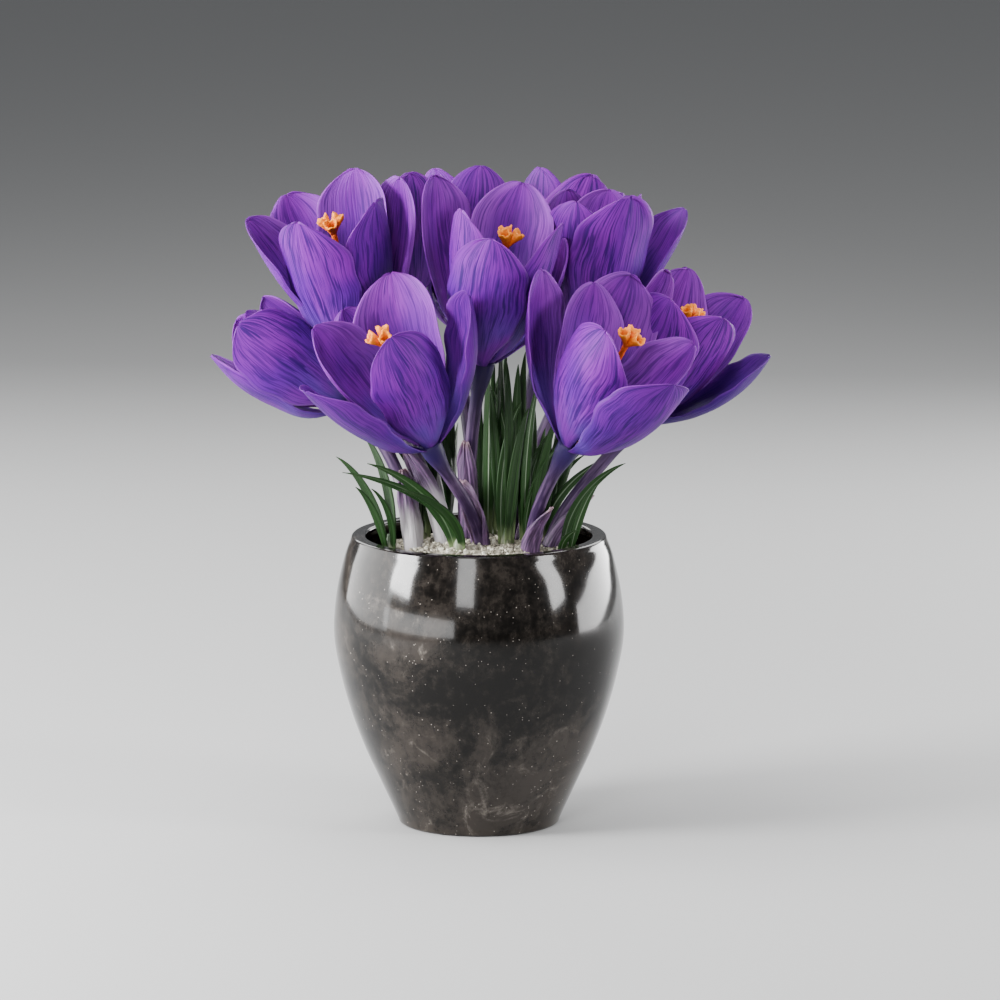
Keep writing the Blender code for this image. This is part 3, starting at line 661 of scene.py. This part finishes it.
def make_stigma(number, bloom, material):
    """Style with three trumpet lobes whose rims are frilled."""
    rng = random.Random(50 * SEED + number)
    axes = bloom_frame(bloom)
    throat = np.array(bloom.throat)
    fork = bloom.style - 0.6 * STIGMA_LOBE - (HIDDEN_STIGMA_DROP if number == HIDDEN_STIGMA else 0.0)
    parts = Parts()
    z = np.linspace(1.9, fork, 30)
    lumps = 0.62 + 0.22 * z / fork + 0.05 * np.sin(z * 1.9 + number)
    parts.add_rod(np.stack([0.2 * np.sin(z / 6), 0 * z, z], 1) @ axes.T + throat, lumps, 12, 0.0)
    style = len(parts.points)
    for k in range(3):
        turn = turned_about_z(120 * k + 30 * number)
        parts.add_sheet(trumpet_grid(rng, fork) @ turn.T @ axes.T + throat, 0.8, 0.5)
    # the pattern runs along the style and on through the lobes
    parts.pattern[:style] = [(u, 0.55 * v, own) for u, v, own in parts.pattern[:style]]
    parts.pattern[style:] = [(u, 0.55 + 0.45 * v, own) for u, v, own in parts.pattern[style:]]
    parts.piece(f"style_{number:02d}", material, f"stigma_{number:02d}")


def trumpet_grid(rng, fork):
    """Narrow funnel that leans out from the fork, its rim frilled in folds."""
    t = np.linspace(0, 1, 14)[:, None]
    angle = np.linspace(0, 2 * math.pi, 41)[None, :]
    folds = rng.choice((3, 4))
    frill = np.sin(folds * angle + 6 * rng.random()) + 0.5 * np.sin((2 * folds + 1) * angle + 6 * rng.random())
    radius = 0.5 + 1.0 * t**1.5 * (1 + 0.16 * frill * t)
    lift = STIGMA_LOBE * 0.9 * t * (1 + 0.08 * frill * t**2) - 0.6
    out = 2.9 * t**1.1
    tilt = math.radians(34)
    x = radius * np.cos(angle)
    y = radius * np.sin(angle) * 1.15
    return np.stack([out + x * math.cos(tilt), y + 0 * out, fork + lift - x * math.sin(tilt)], -1)


def make_bract(number, bloom, material):
    """Papery bract wrapped round the lower tube, crinkled, with its point on one side."""
    rng = random.Random(90 * SEED + number)
    t = np.linspace(0, 1, BRACT_ALONG + 1)
    path = tube_path(bloom, bloom.bract * t)
    along = unit(np.gradient(path, axis=0))
    front = np.array([0.0, -1.0, 0.0])
    front = unit(front - along * (along @ front)[:, None])
    side = np.cross(along, front)
    s = np.linspace(-1, 1, BRACT_ACROSS + 1)
    phase = [7 * rng.random() for _ in range(3)]
    grid = np.zeros((BRACT_ALONG + 1, BRACT_ACROSS + 1, 3))
    for j in range(BRACT_ALONG + 1):
        reach = 150 * (1 - t[j]**1.6) + 14 * t[j]
        azimuth = np.radians(bloom.side + reach * s)
        crinkle = 0.22 * np.sin(9 * s + phase[0] + 3 * t[j]) + 0.13 * np.sin(17 * s + phase[1] + 9 * t[j])
        crinkle = crinkle + 0.2 * np.sin(17 * t[j] + 4 * s + phase[2])
        radius = TUBE_RADIUS + 0.75 + 1.1 * t[j]**2 + crinkle * (0.3 + t[j])
        ring = front[j] * np.cos(azimuth)[:, None] + side[j] * np.sin(azimuth)[:, None]
        grid[j] = path[j] + ring * radius[:, None]
    parts = Parts()
    parts.add_sheet(grid, BRACT_THICKNESS, number, taper=0.4, tone=float(number in WHITE_FOOTED))
    parts.piece(f"papery_bract_{number:02d}", material, f"bract_{number:02d}")


# ---------------------------------------------------------------- leaves

def leaf_grid(root, start, tip, width, rng):
    """Narrow channelled blade that rises from the soil, arches over to its tip and shows its face outwards."""
    x, y = root
    foot = np.array([x, y, soil_height(x, y) - 0.5]) + start
    tip = np.array(tip, float)
    tip[2] += TALL_LEAF_RAISED * ease((tip[2] - TALL_LEAF) / TALL_LEAF_BLEND)
    lift = foot + start * 1.5 + np.array([0, 0, 0.5 * (tip[2] - foot[2])])
    knee = lift * 0.45 + tip * 0.55 + np.array([0, 0, 0.12 * (tip[2] - foot[2])])
    facing = unit(unit(np.array([x, y, 0.0])) + np.array([0.0, -1.2 if y < 0 else 1.2, 0.0]))
    t = np.linspace(0, 1, LEAF_ALONG + 1)[:, None]
    middle = bezier(foot, lift, knee, tip, t)
    along = unit(np.gradient(middle, axis=0))
    span = unit(np.cross(facing, along))
    back = np.cross(along, span)
    half = width / 2 * (0.65 + 0.4 * ease(t / 0.35)) * (1 - np.clip((t - 0.3) / 0.71, 0, 1)**1.6)
    s = np.linspace(-1, 1, LEAF_ACROSS + 1)[None, :]
    fold = 0.24 * half * (abs(s) - 0.4)
    twist = rng.uniform(-0.6, 0.6) * t
    wide = s * half * np.cos(twist)
    deep = fold + s * half * np.sin(twist)
    return middle[:, None] + span[:, None] * wide[..., None] + back[:, None] * deep[..., None]


def mean_angle(angles):
    """Middle direction of angles in radians."""
    return math.atan2(sum(math.sin(a) for a in angles), sum(math.cos(a) for a in angles))


def make_tuft(number, tuft, leaf, sheath):
    """Sheath and the leaves that fan out from it, with younger blades between them in a tall tuft."""
    rng = random.Random(130 * SEED + number)
    node = f"leaves_{number:02d}"
    x, y = tuft.root
    base = soil_height(x, y)
    wrap = Parts()
    shown = SHEATH_SHOWN * SHEATH_HEIGHT
    z = np.linspace(-ROOT_DEPTH, shown, 20)
    radii = SHEATH_RADIUS * (0.95 - 0.6 * ease(z / shown))
    wrap.add_rod(np.stack([x + 0 * z, y + 0 * z, base + z], 1), radii, 18, number / 10)
    wrap.piece(f"sheath_{number:02d}", sheath, node)
    headings = sorted((math.atan2(tip[1] - y, tip[0] - x), tip, width) for tip, width in tuft.leaves)
    spread = 2 * math.pi / len(headings)
    first = mean_angle([heading - spread * k for k, (heading, _, _) in enumerate(headings)])
    tall = max(height for (_, _, height), _ in tuft.leaves) >= TALL_LEAF
    blades = Parts()
    for k, (_, tip, width) in enumerate(headings):
        start = np.array([math.cos(first + spread * k), math.sin(first + spread * k), 0]) * LEAF_START
        blades.add_sheet(leaf_grid(tuft.root, start, tip, width, rng), LEAF_THICKNESS, rng.random())
        if not tall:
            continue
        # a younger blade beside it
        other = np.array(headings[k - 1][1])
        young = np.array(tip) + (other - np.array(tip)) * rng.uniform(0.25, 0.5)
        young[2] = base + (young[2] - base) * rng.uniform(0.78, 0.98)
        blades.add_sheet(leaf_grid(tuft.root, -start, young, 0.85 * width, rng), LEAF_THICKNESS, rng.random())
    blades.piece(f"blades_{number:02d}", leaf, node)


# ---------------------------------------------------------------- pot and soil

def rounded(points, steps):
    """Smooth curve through points, with the same number of steps in each span."""
    p = np.array([points[0]] + list(points) + [points[-1]], float)
    curve = []
    for a, b, c, d in zip(p, p[1:], p[2:], p[3:]):
        for k in range(steps):
            t = k / steps
            curve.append(0.5 * (2 * b + (c - a) * t + (2 * a - 5 * b + 4 * c - d) * t * t
                                + (3 * b - 3 * c + d - a) * t**3))
    curve.append(p[-1])
    return curve


def arc(middle, radius, first, last, count=7):
    """Points on an arc, from first to last degrees."""
    angles = np.radians(np.linspace(first, last, count))
    return [(middle[0] + radius * math.cos(a), middle[1] + radius * math.sin(a)) for a in angles]


def make_pot(material):
    """Turned pot with a rounded lip, a soft foot and a hollow inside."""
    inside = [(r - POT_WALL, z) for z, r in POT_FLANK if z > 10]
    profile = [(0, 5.0), (POT_FOOT_RADIUS - 4.0, 5.0), (POT_FOOT_RADIUS - 1.2, 6.0)]
    profile += rounded(inside + [(POT_RIM_RADIUS - POT_WALL, POT_HEIGHT - 2.0)], 4)
    profile += arc((POT_RIM_RADIUS - POT_WALL + 0.7, POT_HEIGHT - 0.7), 0.7, 180, 90)
    profile += arc((POT_RIM_RADIUS - 0.75, POT_HEIGHT - 0.8), 0.8, 90, 18)
    profile += rounded([(POT_RIM_RADIUS + 0.3, POT_HEIGHT - 1.6)] + [(r, z) for z, r in reversed(POT_FLANK)], 6)
    profile += arc((POT_FOOT_RADIUS - 0.9, 1.2), 1.2, 0, -90, 6)
    profile += [(POT_FOOT_RADIUS - 5, 0.0), (0, 0)]
    mesh = bpy.data.meshes.new("glazed_pot")
    points = [(r * MM, 0, z * MM) for r, z in profile]
    mesh.from_pydata(points, [(k, k + 1) for k in range(len(points) - 1)], [])
    mesh.materials.append(material)
    item = bpy.data.objects.new("glazed_pot", mesh)
    bpy.context.scene.collection.objects.link(item)
    screw = item.modifiers.new("turn", "SCREW")
    screw.axis = "Z"
    screw.steps = screw.render_steps = SCREW_STEPS
    screw.use_merge_vertices = True
    screw.merge_threshold = 0.00001
    screw.use_smooth_shade = True
    dress(item, "pot")


def stone_shape():
    """Points and faces of a round stone with a radius of 1."""
    work = bmesh.new()
    bmesh.ops.create_icosphere(work, subdivisions=1, radius=1.0)
    points = np.array([tuple(vert.co) for vert in work.verts])
    faces = [tuple(vert.index for vert in face.verts) for face in work.faces]
    work.free()
    return points, faces


def mound_mesh(rng, edge):
    """Points and faces of the closed mound, rough on top and flat on its sides."""
    points, faces = [(0, 0, SOIL_CREST)], []
    for j in range(1, MOUND_RINGS + 1):
        radius = edge * j / MOUND_RINGS
        for i in range(MOUND_SIDES):
            a = 2 * math.pi * i / MOUND_SIDES
            x, y = radius * math.cos(a), radius * math.sin(a)
            points.append((x, y, soil_height(x, y) + rng.uniform(-MOUND_ROUGHNESS, MOUND_ROUGHNESS)))
    points += [(x, y, z - MOUND_DEPTH) for x, y, z in points[-MOUND_SIDES:]]
    for i in range(MOUND_SIDES):
        n = (i + 1) % MOUND_SIDES
        faces.append((0, 1 + i, 1 + n))
    for j in range(MOUND_RINGS - 1):
        start = 1 + j * MOUND_SIDES
        for i in range(MOUND_SIDES):
            a, b = start + i, start + (i + 1) % MOUND_SIDES
            faces.append((a, a + MOUND_SIDES, b + MOUND_SIDES, b))
    outer = 1 + (MOUND_RINGS - 1) * MOUND_SIDES
    below = outer + MOUND_SIDES
    for i in range(MOUND_SIDES):
        n = (i + 1) % MOUND_SIDES
        faces.append((outer + i, below + i, below + n, outer + n))
    faces.append(tuple(below + i for i in range(MOUND_SIDES - 1, -1, -1)))
    return points, faces


def make_soil(material):
    """Mound of fine grit with loose gravel on it."""
    rng = random.Random(3 * SEED)
    edge = POT_RIM_RADIUS - POT_WALL - 0.3
    parts = Parts()
    points, faces = mound_mesh(rng, edge)
    parts.add(points, faces, [(0, 0, 0.35 + 0.3 * rng.random()) for _ in points], [0.0] * len(points))
    ball, ball_faces = stone_shape()
    for _ in range(STONES):
        radius = edge * math.sqrt(rng.random()) * 0.985
        a = 2 * math.pi * rng.random()
        x, y = radius * math.cos(a), radius * math.sin(a)
        size = 0.28 + 0.55 * rng.random()**2.5
        turn = np.array(Matrix.Rotation(7 * rng.random(), 3, Vector((rng.random(), rng.random(), 1))))
        scale = np.array([rng.uniform(0.7, 1.2), rng.uniform(0.7, 1.2), rng.uniform(0.5, 0.9)]) * size
        rough = 1 + np.array([rng.uniform(-0.28, 0.28) for _ in ball])[:, None]
        stone = (ball * rough * scale) @ turn.T + np.array([x, y, soil_height(x, y) + 0.4 * size])
        parts.add(stone, ball_faces, [(0, 0, rng.random())] * len(ball), [0.0] * len(ball))
    item = parts.piece("gravel_mound", material, "soil")
    item.data.set_sharp_from_angle(angle=math.radians(35))


# ---------------------------------------------------------------- floor, light and camera

CAMERA_DISTANCE = 2333.0
CAMERA_RISE = 10.07         # degrees above the horizon
CAMERA_LENS = 300.0
LOOK_AT = (5.9, 0.0, 91.7)

FLOOR_REACH = 12.0          # metres each way
WORLD_COLOUR = (0.75, 0.77, 0.80, 1)
WORLD_STRENGTH = 0.34

# name, place, what it looks at, size, watts, roll in degrees
LIGHTS = [
    ("top", (-160, -120, 820), (0, 0, 100), (480, 420), 6.5, 0),
    ("back", (60, 560, 420), (0, 0, 110), (900, 300), 4.5, 0),
    ("side_left", (-640, 160, 240), (0, 0, 80), (760, 460), 10.5, 0),
    ("low_left", (-540, -460, 78), (0, 0, 70), (840, 90), 2.9, 0),
    ("box_left", (-560, -230, 275), (0, 0, 78), (220, 200), 13.0, 0),
    ("strip_front", (-150, -780, 420), (0, 0, 78), (210, 400), 5.2, 0),
    ("strip_right", (620, -300, 300), (0, 0, 78), (170, 320), 5.5, 14),
    ("side_right", (575, 280, 95), (0, 0, 78), (800, 150), 7.5, 8),
]


def aimed(location, target):
    """Rotation that looks from location to target."""
    return (Vector(target) - Vector(location)).to_track_quat("-Z", "Y").to_euler()


def add_light(name, location, target, size, power, roll):
    """Soft rectangular light, in millimetres and watts, turned by roll degrees about its own line of sight."""
    light = bpy.data.lights.new(name, "AREA")
    light.shape = "RECTANGLE"
    light.size, light.size_y = size[0] * MM, size[1] * MM
    light.energy = power
    item = bpy.data.objects.new(name, light)
    item.location = [c * MM for c in location]
    item.rotation_euler = (aimed(location, target).to_matrix()
                           @ Matrix.Rotation(math.radians(roll), 3, "Z")).to_euler()
    item.visible_camera = False
    bpy.context.scene.collection.objects.link(item)


def make_stage():
    """Plain floor, a pale world and the soft lights."""
    mesh = bpy.data.meshes.new("floor")
    corners = [(x * FLOOR_REACH, y * FLOOR_REACH, 0) for x, y in ((-1, -1), (1, -1), (1, 1), (-1, 1))]
    mesh.from_pydata(corners, [], [(0, 1, 2, 3)])
    mesh.materials.append(floor_material())
    floor = bpy.data.objects.new("floor", mesh)
    bpy.context.scene.collection.objects.link(floor)
    world = bpy.data.worlds.new("studio")
    world.use_nodes = True
    background = world.node_tree.nodes["Background"]
    background.inputs["Color"].default_value = WORLD_COLOUR
    background.inputs["Strength"].default_value = WORLD_STRENGTH
    bpy.context.scene.world = world
    for light in LIGHTS:
        add_light(*light)


def make_camera():
    """Long lens a little above the pot's rim, looking straight from the front."""
    rise = math.radians(CAMERA_RISE)
    back = Vector((0, -math.cos(rise), math.sin(rise)))
    camera = bpy.data.cameras.new("camera")
    camera.lens = CAMERA_LENS
    camera.sensor_width = 36.0
    camera.clip_end = 100.0
    item = bpy.data.objects.new("camera", camera)
    item.location = (Vector(LOOK_AT) + back * CAMERA_DISTANCE) * MM
    item.rotation_euler = (math.radians(90 - CAMERA_RISE), 0, 0)
    bpy.context.scene.collection.objects.link(item)
    bpy.context.scene.camera = item


# ---------------------------------------------------------------- the whole plant

def dress_plant():
    """All the blooms and tufts."""
    petal = petal_material()
    tube = tube_material()
    papery = bract_material()
    stigma = stigma_material()
    anther = anther_material()
    leaf = leaf_material()
    sheath = sheath_material()
    for number, bloom in enumerate(BLOOMS, 1):
        make_tepals(number, bloom, petal)
        make_tube(number, bloom, tube)
        make_stamens(number, bloom, anther)
        make_stigma(number, bloom, stigma)
        make_bract(number, bloom, papery)
    for number, tuft in enumerate(TUFTS, 1):
        make_tuft(number, tuft, leaf, sheath)


make_camera()
make_stage()
make_pot(glaze_material())
make_soil(gravel_material())
dress_plant()
